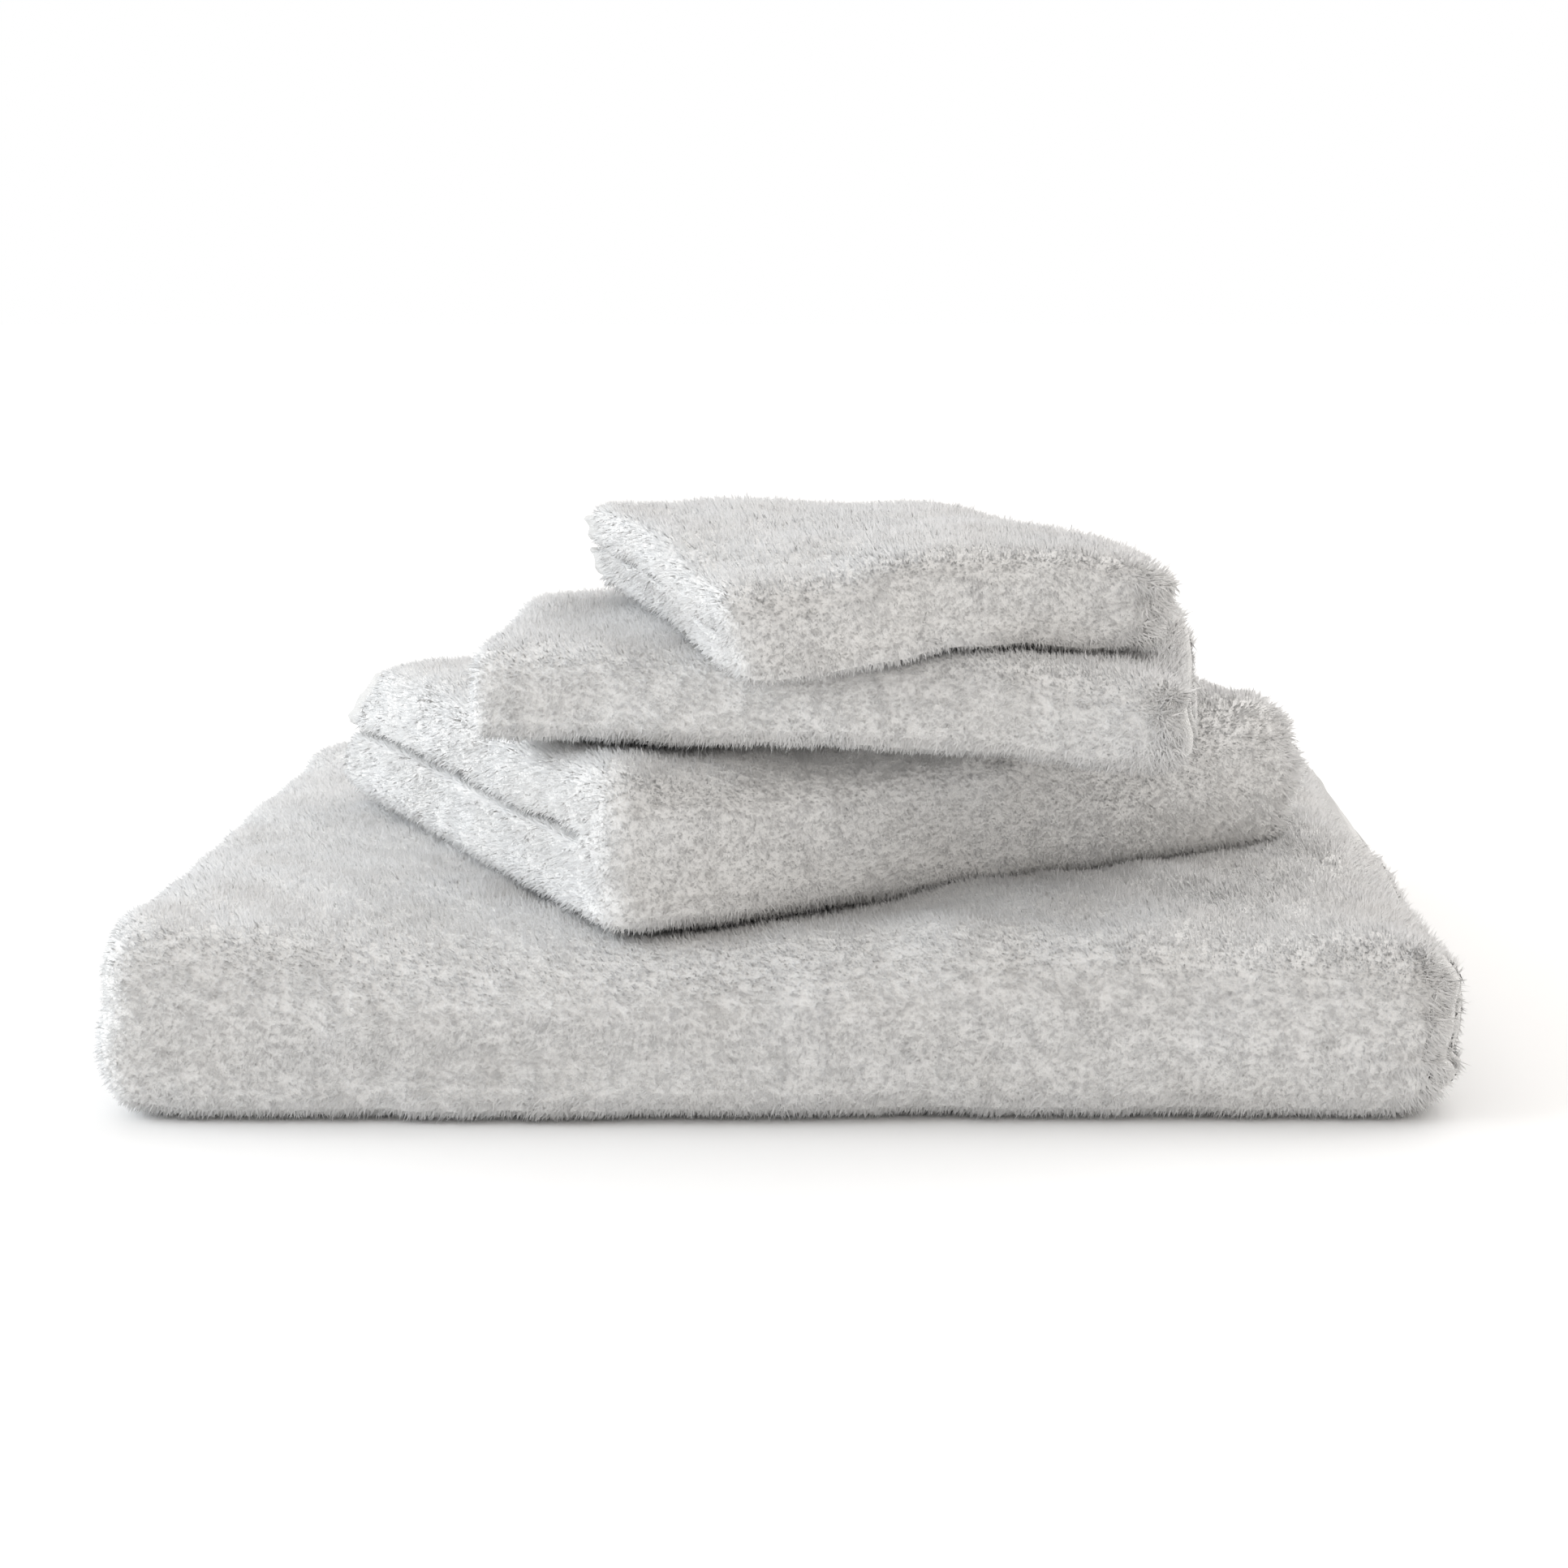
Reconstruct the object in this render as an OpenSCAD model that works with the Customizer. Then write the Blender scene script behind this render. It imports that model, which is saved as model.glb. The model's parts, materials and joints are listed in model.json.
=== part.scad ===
// Bath towel set: four folded terry towels, stacked with the largest at the bottom.
// Millimetres, +Z up. The origin is the middle of the stack's footprint, on the surface it lies on.
// Every towel's last fold faces the front, which is -Y, and its side fold faces -X before it is turned.
// So the hems lie at the back and at the right. A leaf is the half of a towel on one side of its last fold.

/* [Bath sheet] */
// Folded width, left to right
sheet_w = 480; // [400:5:580]
// Folded depth, front to back
sheet_d = 400; // [380:2:470]
// Thickness of one ply with its pile
sheet_ply = 8.25; // [6.5:0.25:10]

/* [Bath towel] */
// Folded width
towel_w = 310; // [250:5:380]
// Folded depth
towel_d = 270; // [220:2:300]
// Thickness of one ply with its pile
towel_ply = 8; // [6.5:0.25:10]
// Middle of the towel, to the right of the stack's
towel_x = 6; // [-20:1:20]
// Middle of the towel, behind the stack's
towel_y = 6; // [-20:1:20]
// Turn, anticlockwise from above
towel_turn = 29; // [-40:1:40]

/* [Hand towel] */
// Folded width
hand_w = 262; // [210:2:320]
// Folded depth
hand_d = 160; // [130:2:200]
// Thickness of one ply with its pile
hand_ply = 9; // [7:0.25:11]
// Middle of the towel, to the right of the stack's
hand_x = 16; // [-20:1:20]
// Middle of the towel, behind the stack's
hand_y = -80; // [-90:1:20]
// Turn, anticlockwise from above
hand_turn = -6; // [-40:1:40]

/* [Washcloth] */
// Folded width
wash_w = 172; // [140:2:210]
// Folded depth
wash_d = 176; // [140:2:210]
// Thickness of one ply with its pile
wash_ply = 9.5; // [7:0.25:12]
// Middle of the washcloth, to the right of the stack's
wash_x = 23; // [-20:1:30]
// Middle of the washcloth, behind the stack's
wash_y = -77; // [-80:1:20]
// Turn, anticlockwise from above
wash_turn = 21; // [-40:1:40]

/* [Hems] */
// Thickness of a hem, which has no pile
hem_t = 3.6; // [2.5:0.1:4.5]
// Width of a hem along a long side
side_hem_w = 12; // [8:1:18]
// Width of a hem across an end
end_hem_w = 22; // [14:1:32]
// Thickness of the sewing thread
thread_t = 0.6; // [0.4:0.1:0.8]
// From the hem's inner edge to the row of stitches
stitch_inset = 2; // [1:0.5:4]

/* [Care label] */
// Width of the label
label_w = 30; // [20:1:40]
// Length that hangs below the hem
label_l = 24; // [14:1:28]
// Thickness of the folded ribbon
label_t = 0.8; // [0.5:0.1:1.2]
// From the right-hand hem to the label
label_inset = 18; // [10:1:30]

/* [Hidden] */
// Air between one towel and the next
gap = 0.3;
// Straight pieces that make up half a turn of a fold
ARC_STEPS = 12;

// A towel is its folded width, depth, ply thickness, number of plies, place, turn and base height.
SHEET = [sheet_w, sheet_d, sheet_ply, 8, [0, 0], 0, 0];
TOWEL = [towel_w, towel_d, towel_ply, 8, [towel_x, towel_y], towel_turn, top(SHEET) + gap];
HAND = [hand_w, hand_d, hand_ply, 4, [hand_x, hand_y], hand_turn, top(TOWEL) + gap];
WASH = [wash_w, wash_d, wash_ply, 4, [wash_x, wash_y], wash_turn, top(HAND) + gap];

function wide(t) = t[0];
function deep(t) = t[1];
function ply(t) = t[2];
function plies(t) = t[3];
function base(t) = t[6];
function tall(t) = ply(t) * plies(t);
function top(t) = base(t) + tall(t);
function twice_folded_length(t) = plies(t) == 8;

// Middle of ply n, counted from the bottom, above the towel's base
function level(t, n) = (n - 0.5) * ply(t);

// Where the cloth ends at the back, and where the end hems and side hems begin
function back(t) = deep(t) / 2 - label_t;
function end_line(t) = back(t) - end_hem_w;
function side_line(t) = wide(t) / 2 - side_hem_w;

// Centres of the folds: the front fold in the YZ plane, the side fold and the rear crease
function front_axis(t) = [tall(t) / 2 - deep(t) / 2, tall(t) / 2];
function side_axis_x(t) = tall(t) / 4 - wide(t) / 2;
function crease_axis_y(t) = back(t) - ply(t);

function arc(centre, r, from, to) = [
    for (i = [0:ARC_STEPS])
        let (a = from + (to - from) * i / ARC_STEPS)
            centre + r * [cos(a), sin(a)]
];

// All points but the last, so that the next arc can start where this one ends
function open_end(points) = [for (i = [0:len(points) - 2]) points[i]];

function reversed(points) = [for (i = [len(points) - 1:-1:0]) points[i]];

// Outline of the pile cloth seen from the side, as [y, z]
function terry_side(t) = concat(
    arc(front_axis(t), tall(t) / 2, 90, 270),
    twice_folded_length(t)
        ? concat(
            open_end(arc([crease_axis_y(t), ply(t)], ply(t), -90, 90)),
            arc([crease_axis_y(t), 3 * ply(t)], ply(t), -90, 90)
        )
        : [[end_line(t), 0]],
    [[end_line(t), tall(t) / 2], [end_line(t), tall(t)]]
);

// Outline of the pile cloth seen from the front, as [x, z]: one rolled fold on each leaf
function terry_front(t) = concat(
    open_end(arc([side_axis_x(t), 3 * tall(t) / 4], tall(t) / 4, 90, 270)),
    arc([side_axis_x(t), tall(t) / 4], tall(t) / 4, 90, 270),
    [[side_line(t), 0], [side_line(t), tall(t)]]
);

// The plies of the lower leaf that each side hem runs along, in the order it runs
function side_plies(t, side) =
    twice_folded_length(t)
        ? (side == "right" ? [1, 2] : [4, 3])
        : (side == "right" ? [1] : [2]);

// The upper and lower ply that each end hem joins round the side fold
function end_plies(t, end) =
    twice_folded_length(t)
        ? (end == "bottom" ? [8, 5] : [7, 6])
        : (end == "bottom" ? [4, 3] : [2, 1]);

function front_radius(t, n) = tall(t) / 2 - level(t, n);

// A side hem's course as [y, z], moved by off to the left of the way it runs.
// It starts at the back of the upper leaf, turns at the front fold and comes back in the lower leaf.
function side_course(t, side, off) =
    let (n = side_plies(t, side))
        concat(
            [[back(t), level(t, plies(t) + 1 - n[0]) - off]],
            arc(front_axis(t), front_radius(t, n[0]) - off, 90, 270),
            len(n) == 2 ? side_return(t, n, off) : [[back(t), level(t, n[0]) + off]]
        );

// The second run of a side hem: up or down at the rear crease, then round the front fold again
function side_return(t, n, off) =
    let (up = n[1] - n[0])
        concat(
            arc(
                [crease_axis_y(t), (level(t, n[0]) + level(t, n[1])) / 2],
                ply(t) / 2 - up * off, -90 * up, 90 * up
            ),
            arc(front_axis(t), front_radius(t, n[1]) + off, 270, 90),
            [[back(t), level(t, plies(t) + 1 - n[1]) + off]]
        );

// An end hem's course as [x, z]: along the upper ply, round the side fold, along the lower ply
function end_course(t, end, off) =
    let (
        n = end_plies(t, end),
        middle = (level(t, n[0]) + level(t, n[1])) / 2,
        radius = (n[0] - n[1]) * ply(t) / 2
    )
        concat(
            [[side_line(t), level(t, n[0]) - off]],
            arc([side_axis_x(t), middle], radius - off, 90, 270),
            [[side_line(t), level(t, n[1]) + off]]
        );

// The flat shape between two courses
module band(course_a, course_b) {
    polygon(concat(course_a, reversed(course_b)));
}

// A [y, z] shape drawn out along X, and an [x, z] shape drawn out along Y
module along_x(from, to) {
    translate([from, 0, 0]) rotate([90, 0, 90]) linear_extrude(to - from) children();
}

module along_y(from, to) {
    translate([0, to, 0]) rotate([90, 0, 0]) linear_extrude(to - from) children();
}

// Puts a folded towel in its place in the stack
module placed(t) {
    translate([t[4][0], t[4][1], base(t)]) rotate([0, 0, t[5]]) children();
}

// The pile cloth of a folded towel, with its plies lying on each other
module terry(t) {
    color([0.94, 0.94, 0.95]) placed(t)
        intersection() {
            along_x(-wide(t) / 2, side_line(t)) polygon(terry_side(t));
            along_y(-deep(t) / 2, back(t)) polygon(terry_front(t));
        }
}

// The flat hem along one long side of the cloth, folded with it
module side_hem(t, side) {
    color([0.90, 0.90, 0.91]) placed(t)
        along_x(side_line(t), wide(t) / 2)
            band(side_course(t, side, hem_t / 2), side_course(t, side, -hem_t / 2));
}

// The flat hem across one end of the cloth, folded with it
module end_hem(t, end) {
    color([0.88, 0.88, 0.89]) placed(t)
        along_y(end_line(t), back(t))
            band(end_course(t, end, hem_t / 2), end_course(t, end, -hem_t / 2));
}

// The sewing thread that holds the four hems down
module stitching(t) {
    near = hem_t / 2;
    far = hem_t / 2 + thread_t;
    side_row = side_line(t) + stitch_inset;
    end_row = end_line(t) + stitch_inset;
    color([0.97, 0.97, 0.96]) placed(t) {
        for (side = ["left", "right"])
            along_x(side_row, side_row + thread_t)
                band(side_course(t, side, far), side_course(t, side, near));
        for (end = ["top", "bottom"])
            along_y(end_row, end_row + thread_t)
                band(end_course(t, end, far), end_course(t, end, near));
    }
}

// A blank ribbon label, sewn to the topmost end hem and hanging down behind the plies
module care_label(t) {
    upper = level(t, plies(t)) + hem_t / 2;
    color([0.98, 0.98, 0.97]) placed(t)
        translate([side_line(t) - label_inset - label_w, back(t), upper - label_l])
            cube([label_w, label_t, label_l]);
}

terry(SHEET);  // bath_sheet_terry
side_hem(SHEET, "left");  // bath_sheet_left_side_hem
side_hem(SHEET, "right");  // bath_sheet_right_side_hem
end_hem(SHEET, "top");  // bath_sheet_top_end_hem
end_hem(SHEET, "bottom");  // bath_sheet_bottom_end_hem
stitching(SHEET);  // bath_sheet_stitching
care_label(SHEET);  // bath_sheet_care_label

terry(TOWEL);  // bath_towel_terry
side_hem(TOWEL, "left");  // bath_towel_left_side_hem
side_hem(TOWEL, "right");  // bath_towel_right_side_hem
end_hem(TOWEL, "top");  // bath_towel_top_end_hem
end_hem(TOWEL, "bottom");  // bath_towel_bottom_end_hem
stitching(TOWEL);  // bath_towel_stitching
care_label(TOWEL);  // bath_towel_care_label

terry(HAND);  // hand_towel_terry
side_hem(HAND, "left");  // hand_towel_left_side_hem
side_hem(HAND, "right");  // hand_towel_right_side_hem
end_hem(HAND, "top");  // hand_towel_top_end_hem
end_hem(HAND, "bottom");  // hand_towel_bottom_end_hem
stitching(HAND);  // hand_towel_stitching
care_label(HAND);  // hand_towel_care_label

terry(WASH);  // washcloth_terry
side_hem(WASH, "left");  // washcloth_left_side_hem
side_hem(WASH, "right");  // washcloth_right_side_hem
end_hem(WASH, "top");  // washcloth_top_end_hem
end_hem(WASH, "bottom");  // washcloth_bottom_end_hem
stitching(WASH);  // washcloth_stitching
care_label(WASH);  // washcloth_care_label
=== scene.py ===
"""Bath towel set: four folded terry towels in a stack, each with its pile, hems, stitches and label."""

import json
import math

import bpy
import numpy as np
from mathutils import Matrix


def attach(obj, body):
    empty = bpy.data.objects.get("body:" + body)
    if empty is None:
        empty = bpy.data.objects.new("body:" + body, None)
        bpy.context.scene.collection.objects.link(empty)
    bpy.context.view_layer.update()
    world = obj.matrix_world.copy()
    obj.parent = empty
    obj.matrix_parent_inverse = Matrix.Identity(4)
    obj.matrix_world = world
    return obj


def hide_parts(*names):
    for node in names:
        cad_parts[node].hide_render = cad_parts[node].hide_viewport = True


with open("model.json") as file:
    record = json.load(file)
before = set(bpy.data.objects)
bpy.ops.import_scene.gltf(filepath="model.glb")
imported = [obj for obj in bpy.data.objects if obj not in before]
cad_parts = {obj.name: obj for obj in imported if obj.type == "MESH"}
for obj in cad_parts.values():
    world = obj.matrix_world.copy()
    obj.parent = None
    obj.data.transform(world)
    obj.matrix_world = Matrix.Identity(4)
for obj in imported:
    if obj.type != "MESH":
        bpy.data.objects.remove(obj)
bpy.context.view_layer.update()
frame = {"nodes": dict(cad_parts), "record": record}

# Sizes in metres, angles in radians
HEM_THICKNESS = 0.0036
HEM_WAVER = 0.00012  # of a hem's faces, in and out, from one row of points to the next
HEM_WAVER_PITCH = 0.0016
HEM_OVERLAP = 0.0006  # of a hem over the cloth that it edges
PILE_ROOM = 0.0030  # of a ply's thickness, what the pile takes on both faces together
STITCH_INSET = 0.0020
STITCH_LENGTH = 0.0034
STITCH_PITCH = 0.0042
THREAD_RADIUS = 0.00035
STITCH_TURNS = 6  # sides of a thread
HEM_THREAD_PITCH = 0.0009
LABEL_THICKNESS = 0.0003
LABEL_DRAWN_IN = 0.0008  # of the label, towards the hem that it hangs from
TUFTS_PER_SQUARE_METRE = 950_000
TUFT_LENGTH = 0.0031
TUFT_RADIUS = 0.00042
TUFT_ROOT = 0.0008  # how deep a tuft starts in the cloth
TUFT_LEAN = 0.55
FLOOR_CLEARANCE = 0.0003
FLOOR_HALF = 6.0
COMBING = np.array([-0.45, 0.45, -0.85])  # the way the pile lies, before it follows the surface
SHARE_UNDERNEATH = 0.3  # of the tufts, where a towel lies on the one below
MOST_TUFTS_IN_A_PIECE = 60_000
LARGEST_STRETCH = 3.2  # of the cloth's outside where it goes round a fold


# ---------------------------------------------------------------- helpers

def waves(points, wavelength, seed, count=14):
    """Smooth noise from about -1 to 1 at each row of points: a sum of plane waves near that wavelength."""
    draw = np.random.default_rng(seed)
    points = np.asarray(points, np.float32)
    ways = draw.normal(size=(count, points.shape[1]))
    ways /= np.linalg.norm(ways, axis=1, keepdims=True)
    numbers = 2 * math.pi / (wavelength * draw.uniform(0.65, 1.6, count))
    shifts = draw.uniform(0, 2 * math.pi, count)
    turns = (ways * numbers[:, None]).T.astype(np.float32)
    return np.sin(points @ turns + shifts.astype(np.float32)).sum(1) / math.sqrt(count) * 0.8


def smooth(x):
    x = np.clip(x, 0, 1)
    return x * x * (3 - 2 * x)


def unit(v):
    return v / np.maximum(np.linalg.norm(v, axis=-1, keepdims=True), 1e-12)


def steps(low, high, coarse, fine, folds):
    """Places from low to high, fine apart near each (middle, half width) in folds and coarse elsewhere."""
    dense = np.linspace(low, high, 8000)
    near = np.zeros(len(dense))
    for middle, reach in folds:
        near = np.maximum(near, smooth(1.6 - np.abs(dense - middle) / reach))
    rate = near / fine + (1 - near) / coarse
    count = np.concatenate([[0], np.cumsum((rate[1:] + rate[:-1]) / 2 * np.diff(dense))])
    return np.interp(np.linspace(0, count[-1], int(math.ceil(count[-1])) + 1), count, dense)


def mesh_from(name, points, faces, sizes, normals=None, maps=()):
    """A mesh object from arrays: points, the faces' corners in one row, and each face's number of corners.
    normals, one for each point, are the directions that it is shaded with, and maps are (name, places) with
    a place in that UV map for each point."""
    mesh = bpy.data.meshes.new(name)
    mesh.vertices.add(len(points))
    mesh.vertices.foreach_set("co", np.ascontiguousarray(points, np.float32).ravel())
    mesh.loops.add(len(faces))
    mesh.loops.foreach_set("vertex_index", np.ascontiguousarray(faces, np.int32))
    mesh.polygons.add(len(sizes))
    sizes = np.asarray(sizes, np.int32)
    mesh.polygons.foreach_set("loop_start", np.concatenate([[0], np.cumsum(sizes)[:-1]]).astype(np.int32))
    mesh.polygons.foreach_set("loop_total", sizes)
    mesh.polygons.foreach_set("use_smooth", np.full(len(sizes), True))
    mesh.update(calc_edges=True)
    mesh.validate()
    if normals is not None:
        shading = mesh.attributes.new("custom_normal", "FLOAT_VECTOR", "POINT")
        shading.data.foreach_set("vector", np.ascontiguousarray(normals, np.float32).ravel())
    for title, places in maps:
        layer = mesh.uv_layers.new(name=title)
        layer.uv.foreach_set("vector", np.ascontiguousarray(places[faces], np.float32).ravel())
    piece = bpy.data.objects.new(name, mesh)
    bpy.context.scene.collection.objects.link(piece)
    return piece


def grid_quads(rows, columns, closed):
    """The quads of a grid of points numbered row by row, closed round its columns if asked."""
    i, j = np.meshgrid(np.arange(rows - 1), np.arange(columns if closed else columns - 1), indexing="ij")
    k = (j + 1) % columns
    here, there = i * columns, (i + 1) * columns
    return np.stack([here + j, here + k, there + k, there + j], -1).reshape(-1, 4)


# ---------------------------------------------------------------- the folded towels

def fold_over(s, z, thick):
    """Folds a stack thick high over at s = 0, its negative half on top.
    Returns each point's distance from the outside of the fold, and its height."""
    quarter = math.pi * thick / 4
    turn = np.clip(s / (thick / 2), -math.pi / 2, math.pi / 2)
    reach = thick - z
    out = thick - reach * np.cos(turn) + np.maximum(np.abs(s) - quarter, 0)
    return out, thick - reach * np.sin(turn)


def square_up(p, q, power):
    """Swells a round end towards a square one: p and q are from -1 to 1. A power of 2 leaves it round."""
    r = np.maximum(np.hypot(p, q), 1e-9)
    grow = ((np.abs(p) / r) ** power + (np.abs(q) / r) ** power) ** (-1 / power)
    return p * grow, q * grow


def pinch(p, q):
    """Takes a square's corners in to a circle's: p and q are from -1 to 1."""
    return p * np.sqrt(1 - q * q / 2), q * np.sqrt(1 - p * p / 2)


class Towel:
    """One folded towel. Its size, place and turn come from the frame."""

    # How square the side folds are, on the towel's outside and where the two press together: 2 is round
    LOBE_POWERS = (4, 8)
    # The same for the front fold, at its top and at its bottom
    FRONT_POWERS = (2.2, 6)
    # How far each end is rounded, as a share of a half circle
    LEFT_ROUND, RIGHT_ROUND, BACK_ROUND = 0.35, 0.8, 0.45
    # The corners' radii seen from above, as shares of the towel's height
    LEFT_CORNER, RIGHT_CORNER = 0.22, 0.40
    WAVER = 0.0022  # of the edges, in metres
    OPEN_END = 0.045  # how far in from an open end the hems slip, in metres

    def __init__(self, body, plies, seed, spread, fringe, settle=0.0, skew=0.0, askew=0.0, sags=()):
        """spread widens the towel, and fringe is the share of its depth, from the front, where pile hides
        the side hems. settle lowers its front, skew leans it sideways by that much over its height, and
        askew shears its footprint. Each of sags is how far out along x and y, from -1 to 1 at the towel's
        edges, then the depth and the reach."""
        self.body = body
        self.spread = spread
        self.skew = skew
        self.askew = askew
        self.settle = settle
        self.fringe = fringe
        self.plies = plies
        self.seed = seed
        self.sags = sags
        label = self.node_points(body + "_care_label")
        edge = self.longest_side(label)
        self.turn = math.atan2(edge[1], edge[0])
        if abs(self.turn) > math.pi / 2:
            self.turn -= math.copysign(math.pi, self.turn)
        nodes = frame["record"]["behaviour"]["bodies"][body]
        everything = self.to_level(np.concatenate([self.node_points(n) for n in nodes]))
        self.low = everything.min(0)
        self.high = everything.max(0)
        self.wide, self.deep, self.tall = self.high - self.low
        self.ply = self.tall / plies
        self.side_hem = self.span("right_side_hem")[0]
        self.end_hem = self.span("bottom_end_hem")[1]
        self.label_thick = self.span("care_label")[1]
        self.label_box = self.local_box("care_label")
        self.cloth_thick = self.ply - PILE_ROOM
        self.measure_cloth()

    @staticmethod
    def node_points(name):
        mesh = frame["nodes"][name].data
        found = np.empty(len(mesh.vertices) * 3)
        mesh.vertices.foreach_get("co", found)
        return found.reshape(-1, 3)

    @staticmethod
    def longest_side(box):
        """The horizontal direction of a box's longest level edge."""
        foot = np.unique(np.round(box[:, :2], 6), axis=0)
        first = foot[0]
        others = foot[1:]
        away = np.linalg.norm(others - first, axis=1)
        return (others - first)[np.argsort(away)[1]]

    def to_level(self, points):
        """Row frame to axes along the towel's own sides."""
        c, s = math.cos(self.turn), math.sin(self.turn)
        return points @ np.array([[c, -s, 0], [s, c, 0], [0, 0, 1]])

    def local_box(self, name):
        points = self.to_level(self.node_points(f"{self.body}_{name}"))
        return points.min(0) - self.middle(), points.max(0) - self.middle()

    def span(self, name):
        low, high = self.local_box(name)
        return high - low

    def middle(self):
        """The middle of the towel's underside, along its own sides."""
        return np.array([*(self.low[:2] + self.high[:2]) / 2, self.low[2]])

    def measure_cloth(self):
        """The flat size of a cloth that folds to this towel: in half across, then in half or four along."""
        rear = self.deep - self.label_thick
        self.twice = self.plies == 8
        self.stack = self.ply * (2 if self.twice else 1)
        self.flat_w = 2 * (self.wide - self.stack + math.pi * self.stack / 4)
        self.leaf = rear - 2 * self.stack + math.pi * self.stack / 2
        self.flat_l = 2 * self.leaf
        if self.twice:
            self.flat_l = 4 * self.leaf - 2 * self.ply + math.pi * self.ply / 2

    def fold(self, u, v, n):
        """Points of the flat cloth, n off its middle, folded: along the towel's sides, from its middle."""
        z = self.ply / 2 + n
        if self.twice:
            out, z = fold_over(self.flat_l / 2 - v, z, self.ply)
            along = self.leaf - out
        else:
            along = v - self.flat_l / 2
        x, z = fold_over(u, z, self.stack)
        # The side lobes press on each other and flatten
        power = np.where(z > self.stack, self.LOBE_POWERS[1], self.LOBE_POWERS[0])
        reach, level = square_up(np.clip(1 - x / self.stack, 0, 1), z / self.stack - 1, power)
        x = np.where(x < self.stack, self.stack * (1 - reach), x)
        z = np.where(reach > 0, self.stack * (1 + level), z)
        y, z = fold_over(along, z, 2 * self.stack)
        return np.stack([x - self.wide / 2, y - self.deep / 2, z], -1)

    def soften(self, p):
        """What hands, weight and loft do to the neat folds: round ends, uneven edges and sagging corners."""
        x, y, z = p[..., 0], p[..., 1], p[..., 2]
        flat = np.stack([x, y], -1).reshape(-1, 2)
        half = self.tall / 2
        # The fold at the front is flattened by the weight, most of all below
        reach = np.clip((-y - (self.deep / 2 - half)) / half, 0, 1)
        reach, level = square_up(reach, z / half - 1, self.FRONT_POWERS[0])
        squarer_reach, squarer_level = square_up(reach, level, self.FRONT_POWERS[1])
        below = smooth(0.5 - 0.5 * level)
        reach = reach + below * (squarer_reach - reach)
        level = level + below * (squarer_level - level)
        y = np.where(reach > 0, -self.deep / 2 + half - reach * half, y)
        z = np.where(reach > 0, half + level * half, z)
        # The left, right and back ends draw in above and below, so they bulge in the middle
        x, z = self.round_end(x, z, -self.wide / 2, self.LEFT_ROUND)
        x, z = self.round_end(x, z, self.wide / 2, self.RIGHT_ROUND)
        y, z = self.round_end(y, z, self.deep / 2, self.BACK_ROUND)
        # Seen from above, the corners are rounded
        r = self.tall * np.where(x < 0, self.LEFT_CORNER, self.RIGHT_CORNER)
        px = np.clip((np.abs(x) - (self.wide / 2 - r)) / r, 0, 1)
        py = np.clip((np.abs(y) - (self.deep / 2 - r)) / r, 0, 1)
        qx, qy = pinch(px, py)
        x = x + np.sign(x) * r * (qx - px)
        y = y + np.sign(y) * r * (qy - py)
        # The plies don't quite line up, and the edges waver
        by_ply = np.stack([x * 0.6, y * 0.6, z * 6], -1).reshape(-1, 3)
        edge = smooth((np.maximum(np.abs(x) / self.wide, np.abs(y) / self.deep) - 0.25) / 0.25)
        x = x + edge * self.WAVER * waves(by_ply, 0.16, self.seed + 1).reshape(x.shape)
        y = y + edge * self.WAVER * waves(by_ply, 0.16, self.seed + 2).reshape(x.shape)
        # At the open ends the thin hems sag towards each other and slip out of line
        open_end = smooth(1 - np.minimum(self.wide / 2 - x, self.deep / 2 - y) / self.OPEN_END)
        between = np.stack([x, y, z * 9], -1).reshape(-1, 3)
        x = x + open_end * self.WAVER * waves(between, 0.12, self.seed + 12).reshape(x.shape)
        y = y + open_end * self.WAVER * waves(between, 0.12, self.seed + 13).reshape(x.shape)
        apart = 0.0014 * waves(between, 0.10, self.seed + 14).reshape(x.shape)
        z = z + open_end * (apart - 0.10 * z * z / self.tall)
        # Loft varies across the towel, corners sag, and the front settles
        rise = z / self.tall
        z = z * (1 + 0.045 * waves(flat, 0.19, self.seed + 3).reshape(x.shape))
        z = z + rise * 0.0016 * waves(flat, 0.055, self.seed + 4).reshape(x.shape)
        for side_x, side_y, depth, reach in self.sags:
            away = np.hypot(x - side_x * self.wide / 2, y - side_y * self.deep / 2)
            z = z - depth * smooth(1 - away / reach)
        z = z - self.settle * smooth(-y / self.deep + 0.3)
        x = x * self.spread + self.skew * (z / self.tall - 0.5) + self.askew * y
        return np.stack([x, y, z], -1)

    def round_end(self, c, z, end, share):
        """Rounds the end of the towel at end, measured along c, by a share of a half circle."""
        half = self.tall / 2
        way = math.copysign(1, end)
        over = np.clip((way * c - (abs(end) - half)) / half, 0, 1)
        up = np.clip(z / half - 1, -1, 1)
        rounder, lower = pinch(over, up)
        return c + way * share * half * (rounder - over), z + share * half * (lower - up)

    def to_row(self, p):
        """From the towel's middle and sides to the row frame."""
        p = p + self.middle()
        c, s = math.cos(self.turn), math.sin(self.turn)
        return p @ np.array([[c, s, 0], [-s, c, 0], [0, 0, 1]])

    def loft(self, u, v):
        """How far the pile cloth's face rises and falls, clump by clump."""
        flat = np.stack([u, v], -1)
        return 0.0005 * waves(flat, 0.045, self.seed + 5) + 0.00025 * waves(flat, 0.016, self.seed + 6)

    def surface(self, u, v, n):
        """Places in the row frame of points of the cloth."""
        shape = np.shape(u)
        u, v, n = (np.ravel(a) for a in np.broadcast_arrays(u, v, n))
        return self.to_row(self.soften(self.fold(u, v, n))).reshape(*shape, 3)

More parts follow.
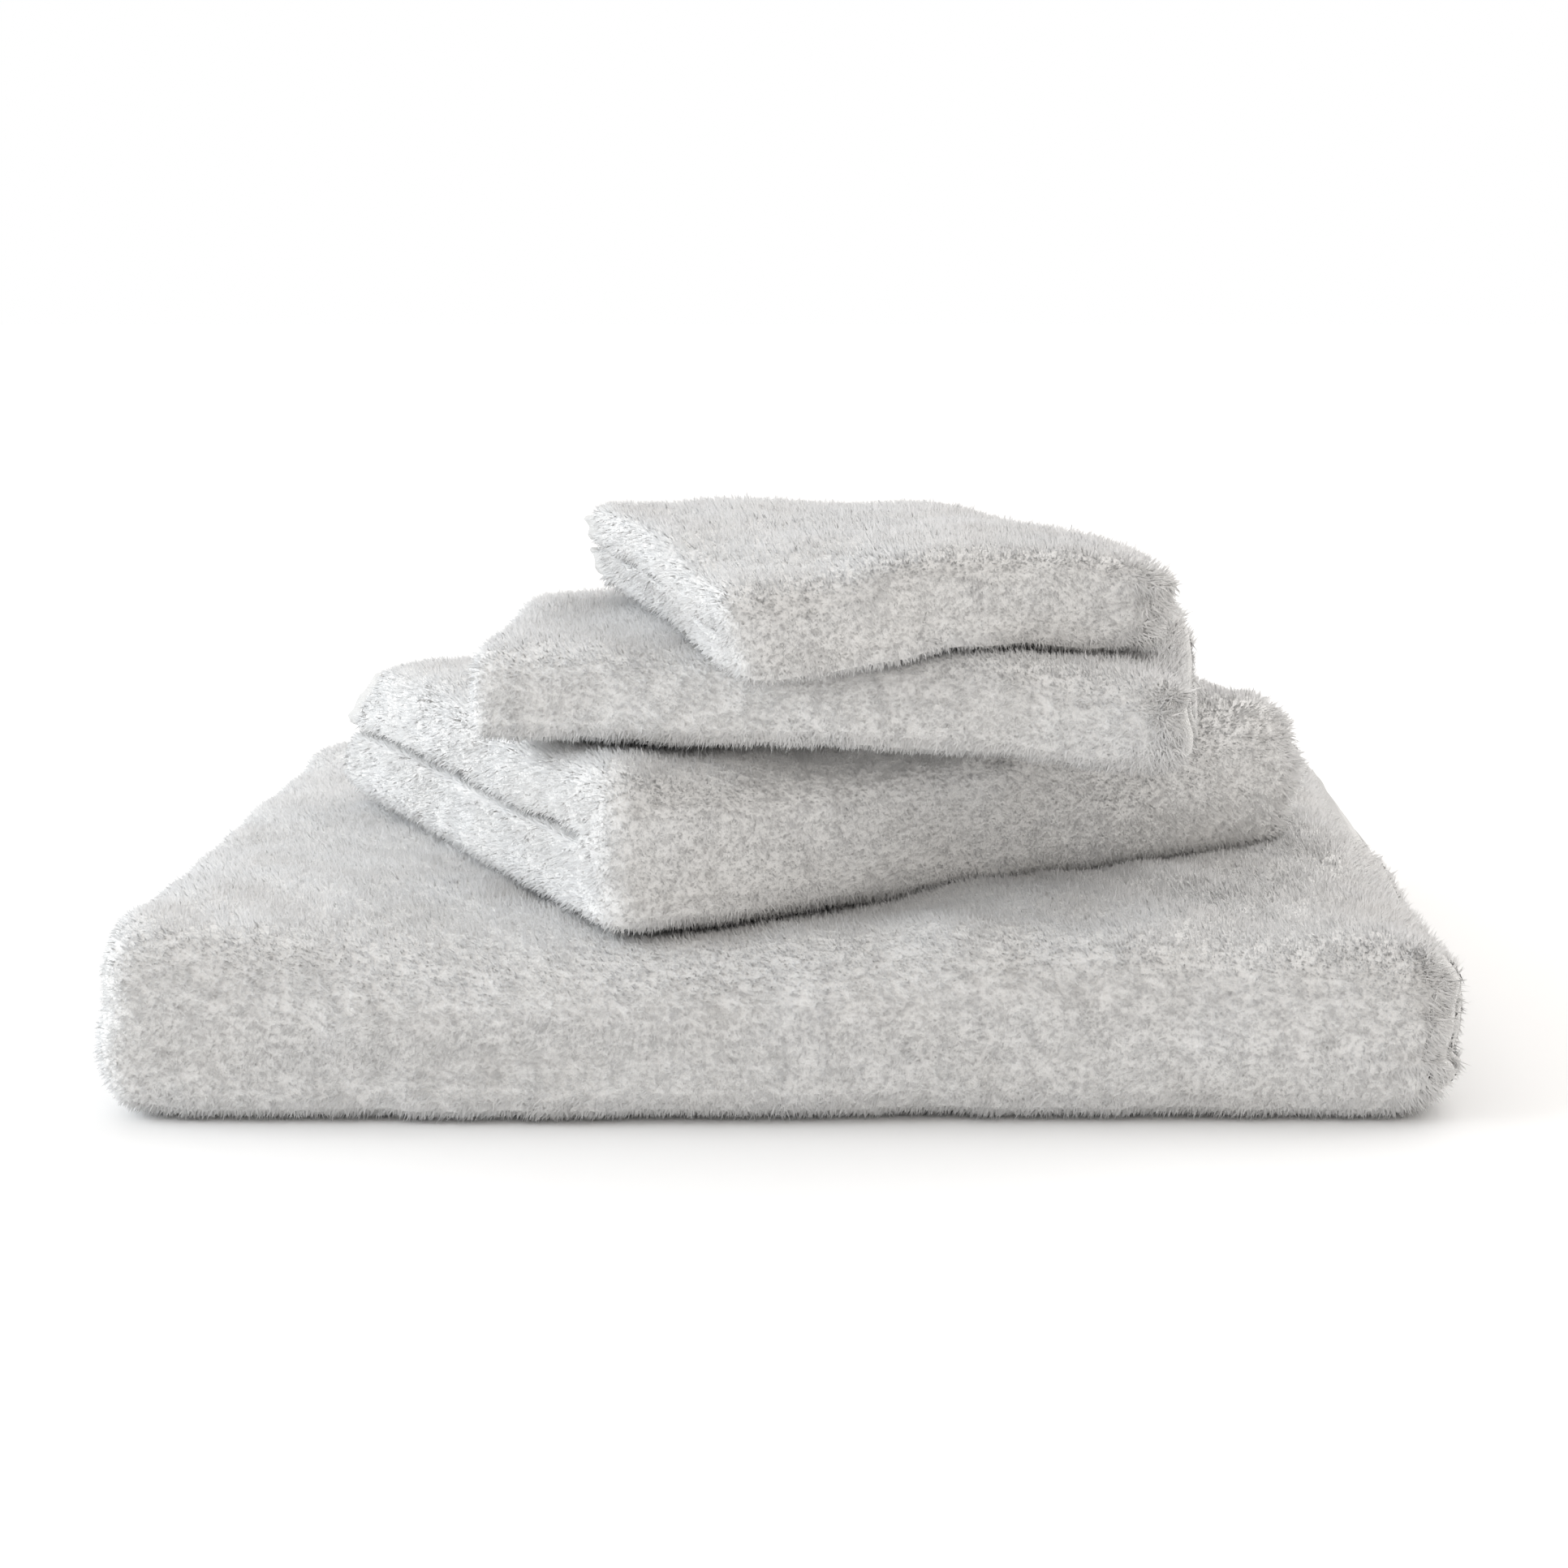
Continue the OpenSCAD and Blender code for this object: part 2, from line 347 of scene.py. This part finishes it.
    def faces_of(self, u, v, side):
        """Places, outward normals, a tangent and the stretch of the pile cloth's face, on side -1 or 1."""
        step = 0.0004
        n = side * (self.cloth_thick / 2 + self.loft(u, v))
        here = self.surface(u, v, n)
        along_u = (self.surface(u + step, v, n) - here) / step
        along_v = (self.surface(u, v + step, n) - here) / step
        across = np.cross(along_u, along_v)
        stretch = np.linalg.norm(across, axis=-1)
        return here, unit(across) * side[:, None], unit(along_u), stretch

    def fold_lines(self):
        """Where along u and v the cloth bends, with the half width of the bend."""
        bend_u = [(0, math.pi * self.stack / 4)]
        bend = math.pi * self.stack / 2
        if self.twice:
            bend_v = [
                (self.flat_l / 2, math.pi * self.ply / 4),
                (self.flat_l / 2 - self.leaf, bend),
                (self.flat_l / 2 + self.leaf, bend),
            ]
        else:
            bend_v = [(self.flat_l / 2, bend)]
        return bend_u, bend_v


# ---------------------------------------------------------------- pieces of a towel

def terry_cloth(t):
    """The ground cloth of a towel as one closed sheet, folded."""
    bend_u, bend_v = t.fold_lines()
    half_w = t.flat_w / 2 - t.side_hem
    us = steps(-half_w, half_w, 0.008, 0.0022, bend_u)
    vs = steps(t.end_hem, t.flat_l - t.end_hem, 0.008, 0.0026, bend_v)
    around = np.concatenate([us, us[::-1]])
    side = np.concatenate([-np.ones(len(us)), np.ones(len(us))])
    u, v = np.meshgrid(around, vs)
    s = np.broadcast_to(side, u.shape)
    edge = np.minimum(half_w - np.abs(u), np.minimum(v - t.end_hem, t.flat_l - t.end_hem - v))
    thick = t.cloth_thick / 2 + t.loft(u.ravel(), v.ravel()).reshape(u.shape)
    hem_half = HEM_THICKNESS / 2
    thick = hem_half + (thick - hem_half) * np.sqrt(smooth(edge / 0.004 + 0.05))
    points = t.surface(u, v, s * thick).reshape(-1, 3)
    rows, columns = u.shape
    quads = grid_quads(rows, columns, True)
    j = np.arange(len(us) - 1)
    first = np.stack([j, j + 1, columns - 2 - j, columns - 1 - j], -1)[:, ::-1]
    last = first[:, ::-1] + (rows - 1) * columns
    quads = np.concatenate([quads, first, last])[:, ::-1]
    return mesh_from(t.body + "_terry_cloth", points, quads.ravel(), np.full(len(quads), 4))


def outside(t, u, v, side):
    """True where a face of the cloth can be seen when the towel is folded."""
    front_half = v < t.flat_l / 2 if t.twice else np.full(len(u), True)
    lobe = math.pi * t.stack / 4 + 0.015
    shell = front_half & (u > -lobe) & (side < 0)
    band = 0.02
    near_side = np.abs(u) > t.flat_w / 2 - t.side_hem - band
    near_end = np.minimum(v, t.flat_l - v) < t.end_hem + band
    seen = shell | near_side | near_end
    if t.twice:
        seen |= (np.abs(v - t.flat_l / 2) < band) & (side < 0)
    return seen


def hidden_below(t, points, normals):
    """True on the underside of a towel that lies on the floor, away from its edges."""
    local = t.to_level(points) - t.middle()
    inner = (np.abs(local[:, 0]) < t.wide / 2 - 0.05) & (np.abs(local[:, 1]) < t.deep / 2 - 0.05)
    return inner & (local[:, 2] < 0.006) & (normals[:, 2] < -0.5) & (t.low[2] < 0.001)


def tuft_roots(t):
    """Random places on the faces that show, even over the folded surface."""
    draw = np.random.default_rng(t.seed + 100)
    half_w = t.flat_w / 2 - 0.001
    length = t.flat_l - 2 * t.end_hem
    count = int(2 * 2 * half_w * length * TUFTS_PER_SQUARE_METRE * LARGEST_STRETCH)
    u = draw.uniform(-half_w, half_w, count)
    v = draw.uniform(t.end_hem, t.end_hem + length, count)
    side = draw.choice([-1.0, 1.0], count)
    chance = draw.uniform(0, LARGEST_STRETCH, count)
    keep = outside(t, u, v, side)
    u, v, side, chance = u[keep], v[keep], side[keep], chance[keep]
    places, normals, tangents, stretch = t.faces_of(u, v, side)
    keep = (chance < stretch) & ~hidden_below(t, places, normals)
    on_hem = np.abs(u) > t.flat_w / 2 - t.side_hem
    front = t.to_level(places)[:, 1] - t.low[1]
    keep &= ~on_hem | (front + 0.1 * t.deep * draw.uniform(-1, 1, len(u)) < t.fringe * t.deep)
    underneath = (normals[:, 2] < -0.7) & (front > 0.03)
    keep &= ~underneath | (draw.uniform(0, 1, len(u)) < SHARE_UNDERNEATH)
    return places[keep], normals[keep], tangents[keep], np.stack([u[keep], v[keep]], -1)


def laid_out(part, across):
    """Puts a piece's tufts, sorted along the cloth, in the cells of a square map, row by row. Returns their
    new order, and where each tuft's points go: three round its cell and the tip in the middle."""
    side = math.ceil(math.sqrt(len(part)))
    rows = np.split(part, range(side, len(part), side))
    rows = [row[np.argsort(across[row], kind="stable")] for row in rows]
    cell = np.arange(len(part))
    middle = np.stack([cell % side + 0.5, cell // side + 0.5], -1)
    turn = math.pi / 2 + 2 * math.pi * np.arange(3) / 3
    round_it = np.concatenate([0.46 * np.stack([np.cos(turn), np.sin(turn)], -1), np.zeros((1, 2))])
    return np.concatenate(rows), (middle[:, None] + round_it) / side


def pile(t):
    """The loops that stand on the cloth, as leaning tapered tufts, in pieces that each export whole."""
    places, normals, tangents, flat = tuft_roots(t)
    count = len(places)
    draw = np.random.default_rng(t.seed + 200)
    other = np.cross(normals, tangents)
    combed = unit(COMBING - (normals @ COMBING)[:, None] * normals)
    swirl = 0.4 * waves(flat, 0.09, t.seed + 7) + 0.15 * waves(flat, 0.02, t.seed + 8)
    swirl += draw.normal(0, 0.7, count)
    way = np.cos(swirl)[:, None] * combed + np.sin(swirl)[:, None] * np.cross(normals, combed)
    spill = smooth((np.abs(flat[:, 0]) - t.flat_w / 2 + 0.034) / 0.034) * np.sign(flat[:, 0])
    way = unit(way + (0.9 + draw.normal(0, 0.6, count))[:, None] * spill[:, None] * tangents)
    lean = TUFT_LEAN + 0.06 * waves(flat, 0.012, t.seed + 9) + 0.15 * np.abs(spill)
    lean += draw.normal(0, 0.22, count)
    long = TUFT_LENGTH * (1 + 0.06 * waves(flat, 0.015, t.seed + 10)) * (1 + 0.45 * np.abs(spill))
    long *= np.exp(draw.normal(0, 0.2, count))
    root = places - normals * TUFT_ROOT
    tip = root + (np.cos(lean) * long)[:, None] * normals + (np.sin(lean) * long)[:, None] * way
    radius = TUFT_RADIUS * draw.uniform(0.7, 1.3, count)
    spin = draw.uniform(0, 2 * math.pi, count)
    corners, shading = [], []
    for k in range(3):
        a = spin + 2 * math.pi * k / 3
        outward = np.cos(a)[:, None] * tangents + np.sin(a)[:, None] * other
        corners.append(root + radius[:, None] * outward)
        shading.append(unit(normals + 0.30 * outward))
    points = np.stack([*corners, tip], 1)
    points[..., 2] = np.maximum(points[..., 2], FLOOR_CLEARANCE)
    shading = np.stack([*shading, unit(normals + 0.24 * way)], 1)
    tuft_faces = np.array([0, 1, 3, 1, 2, 3, 2, 0, 3])
    order = np.argsort(flat[:, 1], kind="stable")
    parts = math.ceil(count / MOST_TUFTS_IN_A_PIECE)
    pieces = []
    for i, part in enumerate(np.array_split(order, parts)):
        chosen, cells = laid_out(part, flat[:, 0])
        faces = (tuft_faces[None] + 4 * np.arange(len(chosen))[:, None]).ravel()
        pieces.append(mesh_from(
            f"{t.body}_pile_{i + 1}",
            points[chosen].reshape(-1, 3),
            faces,
            np.full(3 * len(chosen), 3),
            shading[chosen].reshape(-1, 3),
            [("OFBake", cells.reshape(-1, 2))],
        ))
    return pieces


def hem(t, name, across, along, run):
    """A flat hem as a closed band. across is its low and high edge in the flat cloth, and run says whether
    it runs along v (a side hem) or along u (an end hem)."""
    half = HEM_THICKNESS / 2
    corner = half * 0.8
    low, high = across
    section = []
    for n, lo_to_hi in ((-half, True), (half, False)):
        ws = np.linspace(low + corner * 0.6, high - corner * 0.6, 6)
        section += [(w, n) for w in (ws if lo_to_hi else ws[::-1])]
        section.append((high if lo_to_hi else low, 0.0))
    w, n = np.array(section).T
    wide, length = np.meshgrid(w, along)
    n = np.broadcast_to(n, wide.shape)
    n = n + np.sign(n) * HEM_WAVER * np.sin(2 * math.pi * wide / HEM_WAVER_PITCH)
    u, v = (wide, length) if run == "v" else (length, wide)
    points = t.surface(u, v, n).reshape(-1, 3)
    quads = grid_quads(len(along), len(section), True)
    if run == "v":
        quads = quads[:, ::-1]
    cap = np.arange(len(section))
    caps = [cap, (cap + (len(along) - 1) * len(section))[::-1]]
    if run != "v":
        caps = [c[::-1] for c in caps]
    faces = np.concatenate([quads.ravel(), *caps])
    sizes = np.concatenate([np.full(len(quads), 4), [len(section)] * 2])
    cloth = ("cloth", np.stack([u.ravel(), v.ravel()], -1))
    return mesh_from(f"{t.body}_{name}", points, faces, sizes, maps=[cloth])


def hems(t):
    """The four hems, named as in the frame."""
    bend_u, bend_v = t.fold_lines()
    long = steps(0, t.flat_l, 0.006, 0.0022, bend_v)
    inner = t.flat_w / 2 - t.side_hem
    wide = steps(-inner, inner, 0.006, 0.002, bend_u)
    return {
        "left_side_hem": hem(t, "left_hem_band", (-t.flat_w / 2, -inner + HEM_OVERLAP), long, "v"),
        "right_side_hem": hem(t, "right_hem_band", (inner - HEM_OVERLAP, t.flat_w / 2), long, "v"),
        "top_end_hem": hem(t, "top_hem_band", (t.flat_l - t.end_hem - HEM_OVERLAP, t.flat_l), wide, "u"),
        "bottom_end_hem": hem(t, "bottom_hem_band", (0, t.end_hem + HEM_OVERLAP), wide, "u"),
    }


def stitches(t):
    """Lock stitches in a row along each hem, on both faces."""
    inner_u = t.flat_w / 2 - t.side_hem + STITCH_INSET
    inner_v = t.end_hem - STITCH_INSET
    rows = [
        ("v", -inner_u, 0.004, t.flat_l - 0.004),
        ("v", inner_u, 0.004, t.flat_l - 0.004),
        ("u", inner_v, -inner_u, inner_u),
        ("u", t.flat_l - inner_v, -inner_u, inner_u),
    ]
    turns = STITCH_TURNS
    rings = np.array([-0.5, -0.32, 0.0, 0.32, 0.5])
    fat = np.array([0.45, 0.95, 1.0, 0.95, 0.45]) * THREAD_RADIUS
    rise = np.array([-0.6, 0.1, 0.5, 0.1, -0.6]) * THREAD_RADIUS
    all_points, all_faces, all_sizes, base = [], [], [], 0
    for run, place, start, end in rows:
        for face in (-1, 1):
            centres = np.arange(start, end, STITCH_PITCH)
            along = centres[:, None] + rings[None] * STITCH_LENGTH
            angle = 2 * math.pi * np.arange(turns) / turns
            across = place + fat[:, None] * np.cos(angle)[None]
            off = HEM_THICKNESS / 2 + rise[:, None] + fat[:, None] * np.sin(angle)[None]
            shape = (len(centres), len(rings), turns)
            a = np.broadcast_to(along[:, :, None], shape)
            w = np.broadcast_to(across[None], shape)
            n = np.broadcast_to(face * off[None], shape)
            u, v = (w, a) if run == "v" else (a, w)
            points = t.surface(u, v, n).reshape(-1, 3)
            quads = grid_quads(len(rings), turns, True)
            if (face > 0) == (run == "v"):
                quads = quads[:, ::-1]
            cap = np.arange(turns)
            caps = [cap[::-1], cap + (len(rings) - 1) * turns]
            if (face > 0) == (run == "v"):
                caps = [c[::-1] for c in caps]
            one = np.concatenate([quads.ravel(), *caps])
            sizes = np.concatenate([np.full(len(quads), 4), [turns] * 2])
            shift = base + np.arange(len(centres))[:, None] * len(rings) * turns
            all_points.append(points)
            all_faces.append((one[None] + shift).ravel())
            all_sizes.append(np.tile(sizes, len(centres)))
            base += len(points)
    points, faces, sizes = (np.concatenate(rows) for rows in (all_points, all_faces, all_sizes))
    return mesh_from(t.body + "_stitches", points, faces, sizes)


def label(t):
    """A blank ribbon folded in half, hanging from the topmost end hem with a slight curl."""
    low, high = t.label_box
    across = np.linspace(low[0], high[0], 13)
    down = np.linspace(0, 1, 17)
    x, d = np.meshgrid(across, down)
    z = high[2] + (low[2] - high[2]) * d
    curl = 0.0016 * d * d + 0.0005 * np.sin(5 * d + 60 * x)
    sheets = []
    for y in (low[1] + curl, low[1] + curl + LABEL_THICKNESS):
        sheets.append(t.to_row(t.soften(np.stack([x, y - LABEL_DRAWN_IN, z], -1).reshape(-1, 3))))
    rows, columns = x.shape
    front = grid_quads(rows, columns, False)
    back = front[:, ::-1] + rows * columns
    rim = np.concatenate([
        np.arange(columns), np.arange(1, rows) * columns + columns - 1,
        (rows - 1) * columns + np.arange(columns - 2, -1, -1), np.arange(rows - 2, 0, -1) * columns,
    ])
    following = np.roll(rim, -1)
    sides = np.stack([following, rim, rim + rows * columns, following + rows * columns], -1)
    quads = np.concatenate([front, back, sides])
    cloth = ("cloth", np.tile(np.stack([x.ravel(), z.ravel()], -1), (2, 1)))
    return mesh_from(
        t.body + "_label", np.concatenate(sheets), quads.ravel(), np.full(len(quads), 4), maps=[cloth]
    )


# ---------------------------------------------------------------- materials

class Recipe:
    """A material in the making: its nodes, its shader, and a few steps that the cottons share."""

    def __init__(self, name, roughness, sheen, sheen_roughness):
        self.material = bpy.data.materials.new(name)
        self.material.use_nodes = True
        self.nodes = self.material.node_tree.nodes
        self.links = self.material.node_tree.links
        self.shader = self.nodes["Principled BSDF"]
        self.shader.inputs["Roughness"].default_value = roughness
        self.shader.inputs["Sheen Weight"].default_value = sheen
        self.shader.inputs["Sheen Roughness"].default_value = sheen_roughness
        self.shader.inputs["Specular IOR Level"].default_value = 0.2
        self.place = self.nodes.new("ShaderNodeTexCoord").outputs["Object"]

    def noise(self, size, detail=2.0, stretch=(1, 1, 1)):
        """Noise with features of that size in metres, longer along an axis with a smaller stretch."""
        scaled = self.nodes.new("ShaderNodeVectorMath")
        scaled.operation = "MULTIPLY"
        scaled.inputs[1].default_value = stretch
        self.links.new(self.place, scaled.inputs[0])
        texture = self.nodes.new("ShaderNodeTexNoise")
        texture.inputs["Scale"].default_value = 1 / size
        texture.inputs["Detail"].default_value = detail
        self.links.new(scaled.outputs[0], texture.inputs["Vector"])
        return texture.outputs["Fac"]

    def rows(self, axis, pitch):
        """Ridges of that pitch in metres across one axis of the flat cloth, from 0 to 1."""
        cloth = self.nodes.new("ShaderNodeUVMap")
        cloth.uv_map = "cloth"
        split = self.nodes.new("ShaderNodeSeparateXYZ")
        self.links.new(cloth.outputs["UV"], split.inputs[0])
        turn = self.math("MULTIPLY", split.outputs[axis], 2 * math.pi / pitch)
        return self.math("MULTIPLY_ADD", self.math("SINE", turn), 0.5, 0.5)

    def math(self, operation, *values):
        node = self.nodes.new("ShaderNodeMath")
        node.operation = operation
        for socket, value in zip(node.inputs, values):
            if isinstance(value, (int, float)):
                socket.default_value = value
            else:
                self.links.new(value, socket)
        return node.outputs[0]

    def spread(self, value, low, high):
        """A value around a half, widened to run from low to high."""
        ranged = self.nodes.new("ShaderNodeMapRange")
        ranged.inputs["From Min"].default_value = 0.3
        ranged.inputs["From Max"].default_value = 0.7
        ranged.inputs["To Min"].default_value = low
        ranged.inputs["To Max"].default_value = high
        self.links.new(value, ranged.inputs["Value"])
        return ranged.outputs[0]

    def color(self, value, *stops):
        ramp = self.nodes.new("ShaderNodeValToRGB")
        ramp.color_ramp.elements.remove(ramp.color_ramp.elements[1])
        for i, (place, color) in enumerate(stops):
            stop = ramp.color_ramp.elements[0] if i == 0 else ramp.color_ramp.elements.new(place)
            stop.position = place
            stop.color = (*color, 1)
        self.links.new(value, ramp.inputs["Fac"])
        self.links.new(ramp.outputs["Color"], self.shader.inputs["Base Color"])

    def roughness(self, value, low, high):
        self.links.new(self.spread(value, low, high), self.shader.inputs["Roughness"])

    def bump(self, height, depth, strength=1.0):
        """Raises the surface by up to depth metres where height is 1."""
        bump = self.nodes.new("ShaderNodeBump")
        bump.inputs["Distance"].default_value = depth
        bump.inputs["Strength"].default_value = strength
        self.links.new(height, bump.inputs["Height"])
        self.links.new(bump.outputs["Normal"], self.shader.inputs["Normal"])


def pile_material():
    """Cotton yarn: each tuft a little lighter or darker, in faint warm and cool drifts."""
    m = Recipe("cotton_pile", 0.95, 0.25, 0.5)
    tuft = m.noise(0.0016, 1.0)
    drift = m.noise(0.03, 2.0)
    m.color(
        m.math("MULTIPLY_ADD", tuft, 0.45, m.math("MULTIPLY", drift, 0.55)),
        (0.30, (0.822, 0.811, 0.797)),
        (0.50, (0.842, 0.838, 0.831)),
        (0.70, (0.860, 0.862, 0.865)),
    )
    m.roughness(tuft, 0.85, 1.0)
    m.bump(m.noise(0.0003, 2.0, (1, 1, 0.4)), 0.00006, 0.6)
    return m.material


def cloth_material():
    """The woven ground that the pile stands on: pebbly where the loops leave it. Its colour is set darker
    than the pile's as painted shade, for the shadow that falls among the loops.
    """
    m = Recipe("cotton_ground", 0.95, 0.15, 0.6)
    knots = m.noise(0.0014, 2.0)
    # painted shade: these greys sit below the pile's colours, standing in for the shadow between the tufts
    m.color(
        m.math("MULTIPLY_ADD", knots, 0.5, m.math("MULTIPLY", m.noise(0.03), 0.5)),
        (0.30, (0.77, 0.76, 0.745)),
        (0.70, (0.85, 0.85, 0.845)),
    )
    m.roughness(knots, 0.88, 1.0)
    m.bump(knots, 0.0006)
    return m.material


def hem_material():
    """A dobby band in plain weave: fine rows both ways, one thread over the other."""
    m = Recipe("cotton_hem", 0.85, 0.2, 0.5)
    warp, weft = m.rows(0, HEM_THREAD_PITCH), m.rows(1, HEM_THREAD_PITCH * 1.2)
    over = m.math("ABSOLUTE", m.math("SUBTRACT", warp, weft))
    uneven = m.noise(0.004, 3.0)
    weave = m.math("MULTIPLY_ADD", over, 0.7, m.math("MULTIPLY", uneven, 0.3))
    m.color(weave, (0.15, (0.66, 0.655, 0.64)), (0.50, (0.76, 0.757, 0.75)), (0.85, (0.83, 0.83, 0.825)))
    m.roughness(uneven, 0.75, 0.95)
    m.bump(weave, 0.00035)
    return m.material


def thread_material():
    """Mercerised sewing thread: a faint twist and a soft gloss."""
    m = Recipe("sewing_thread", 0.5, 0.1, 0.4)
    twist = m.noise(0.0005, 1.0, (1, 1, 0.5))
    m.color(twist, (0.35, (0.80, 0.80, 0.79)), (0.65, (0.90, 0.90, 0.89)))
    m.roughness(twist, 0.42, 0.62)
    m.bump(twist, 0.00008)
    return m.material


def label_material():
    """Satin ribbon: long floats one way, so it shines."""
    m = Recipe("satin_ribbon", 0.35, 0.3, 0.3)
    floats = m.math("MULTIPLY_ADD", m.rows(0, 0.0005), 0.6, m.math("MULTIPLY", m.rows(1, 0.0016), 0.4))
    drift = m.noise(0.006, 2.0)
    m.color(
        m.math("MULTIPLY_ADD", floats, 0.3, m.math("MULTIPLY", drift, 0.7)),
        (0.30, (0.66, 0.66, 0.65)),
        (0.70, (0.76, 0.76, 0.75)),
    )
    m.roughness(drift, 0.30, 0.45)
    m.bump(floats, 0.00006)
    return m.material


# ---------------------------------------------------------------- the set

TOWELS = [
    Towel("bath_sheet", 8, seed=11, spread=1.02, fringe=0.45, askew=0.05),
    Towel("bath_towel", 8, seed=23, spread=1.04, fringe=0.5, settle=0.004, skew=0.008),
    Towel("hand_towel", 4, seed=37, spread=1.02, fringe=0.85, settle=0.0035, sags=[(1, -1, 0.0075, 0.13)]),
    Towel("washcloth", 4, seed=53, spread=1.05, fringe=0.6, settle=0.0035, skew=-0.008, sags=[
        (-1, -1, 0.011, 0.11),
        (1, -1, 0.005, 0.08),
        (0.5, -1, 0.0025, 0.07),
        (1, 0.3, 0.006, 0.11),
        (-1, 1, -0.003, 0.10),
    ]),
]

MATERIALS = {
    "terry": cloth_material(),
    "pile": pile_material(),
    "hem": hem_material(),
    "thread": thread_material(),
    "label": label_material(),
}


def finish_piece(piece, body, material):
    piece.data.materials.append(MATERIALS[material])
    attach(piece, body)


for towel in TOWELS:
    cloth = terry_cloth(towel)
    finish_piece(cloth, towel.body, "terry")
    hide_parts(towel.body + "_terry")
    tufts = pile(towel)
    for tuft_piece in tufts:
        finish_piece(tuft_piece, towel.body, "pile")
    bands = hems(towel)
    for node, band in bands.items():
        finish_piece(band, towel.body, "hem")
        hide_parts(f"{towel.body}_{node}")
    seam = stitches(towel)
    finish_piece(seam, towel.body, "thread")
    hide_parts(towel.body + "_stitching")
    tag = label(towel)
    finish_piece(tag, towel.body, "label")
    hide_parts(towel.body + "_care_label")


# ---------------------------------------------------------------- stage, light and camera

def floor():
    size = FLOOR_HALF
    mesh = bpy.data.meshes.new("studio_floor")
    corners = [(-size, -size, 0), (size, -size, 0), (size, size, 0), (-size, size, 0)]
    mesh.from_pydata(corners, [], [(0, 1, 2, 3)])
    plane = bpy.data.objects.new("studio_floor", mesh)
    bpy.context.scene.collection.objects.link(plane)
    material = bpy.data.materials.new("white_floor")
    material.use_nodes = True
    shader = material.node_tree.nodes["Principled BSDF"]
    shader.inputs["Base Color"].default_value = (0.92, 0.92, 0.92, 1)
    shader.inputs["Roughness"].default_value = 0.9
    shader.inputs["Specular IOR Level"].default_value = 0.0
    shader.inputs["Emission Color"].default_value = (1, 1, 1, 1)
    nodes, links = material.node_tree.nodes, material.node_tree.links
    place = nodes.new("ShaderNodeTexCoord")
    away = nodes.new("ShaderNodeVectorMath")
    away.operation = "LENGTH"
    glow = nodes.new("ShaderNodeMapRange")
    glow.inputs["From Min"].default_value = 0.6
    glow.inputs["From Max"].default_value = 3.0
    glow.inputs["To Max"].default_value = 0.3
    links.new(place.outputs["Object"], away.inputs[0])
    links.new(away.outputs["Value"], glow.inputs["Value"])
    links.new(glow.outputs[0], shader.inputs["Emission Strength"])
    mesh.materials.append(material)


def soft_light(name, place, aim, size, power, color):
    data = bpy.data.lights.new(name, "AREA")
    data.shape = "RECTANGLE"
    data.size, data.size_y = size
    data.energy = power
    data.color = color
    lamp = bpy.data.objects.new(name, data)
    bpy.context.scene.collection.objects.link(lamp)
    lamp.location = place
    way = np.array(aim) - np.array(place)
    lamp.rotation_euler = look_along(way)


def look_along(way):
    """Turns that point an object's -Z along way, with its +Y up."""
    flat = math.hypot(way[0], way[1])
    return (math.pi / 2 + math.atan2(way[2], flat), 0, math.atan2(-way[0], way[1]))


def studio():
    """A soft white room, brightest on the left and behind, that the camera sees as a plain white backdrop,
    with a broad window on the left."""
    world = bpy.data.worlds.new("studio")
    bpy.context.scene.world = world
    world.use_nodes = True
    nodes, links = world.node_tree.nodes, world.node_tree.links
    direction = nodes.new("ShaderNodeTexCoord")
    slope = nodes.new("ShaderNodeVectorMath")
    slope.operation = "DOT_PRODUCT"
    slope.inputs[1].default_value = (-0.20, 0.29, 0.0)
    level = nodes.new("ShaderNodeMath")
    level.operation = "ADD"
    level.inputs[1].default_value = 0.93
    links.new(direction.outputs["Generated"], slope.inputs[0])
    links.new(slope.outputs["Value"], level.inputs[0])
    room = nodes["Background"]
    room.inputs["Color"].default_value = (1.0, 0.975, 0.95, 1)
    links.new(level.outputs[0], room.inputs["Strength"])
    backdrop = nodes.new("ShaderNodeBackground")
    backdrop.inputs["Color"].default_value = (1, 1, 1, 1)
    seen = nodes.new("ShaderNodeLightPath")
    either = nodes.new("ShaderNodeMixShader")
    links.new(seen.outputs["Is Camera Ray"], either.inputs[0])
    links.new(room.outputs[0], either.inputs[1])
    links.new(backdrop.outputs[0], either.inputs[2])
    links.new(either.outputs[0], nodes["World Output"].inputs["Surface"])
    soft_light("window_left", (-1.8, -0.3, 0.8), (0, 0, 0.1), (1.3, 1.1), 20, (0.87, 0.94, 1.0))
    soft_light("fill_right", (1.4, -0.9, 0.45), (0, 0, 0.05), (0.8, 0.6), 3, (1.0, 0.95, 0.88))
    soft_light("ceiling", (1.1, 0.7, 1.5), (0, 0, 0.1), (1.6, 1.6), 12, (1.0, 0.99, 0.98))


def camera():
    data = bpy.data.cameras.new("camera")
    data.sensor_width = 36.0
    data.lens = 64.8
    view = bpy.data.objects.new("camera", data)
    bpy.context.scene.collection.objects.link(view)
    view.location = (-0.008, -1.1555, 0.324)
    view.rotation_euler = (math.radians(90 - 11.83), 0, 0)
    bpy.context.scene.camera = view


floor()
studio()
camera()
bpy.context.scene.view_settings.view_transform = "Standard"
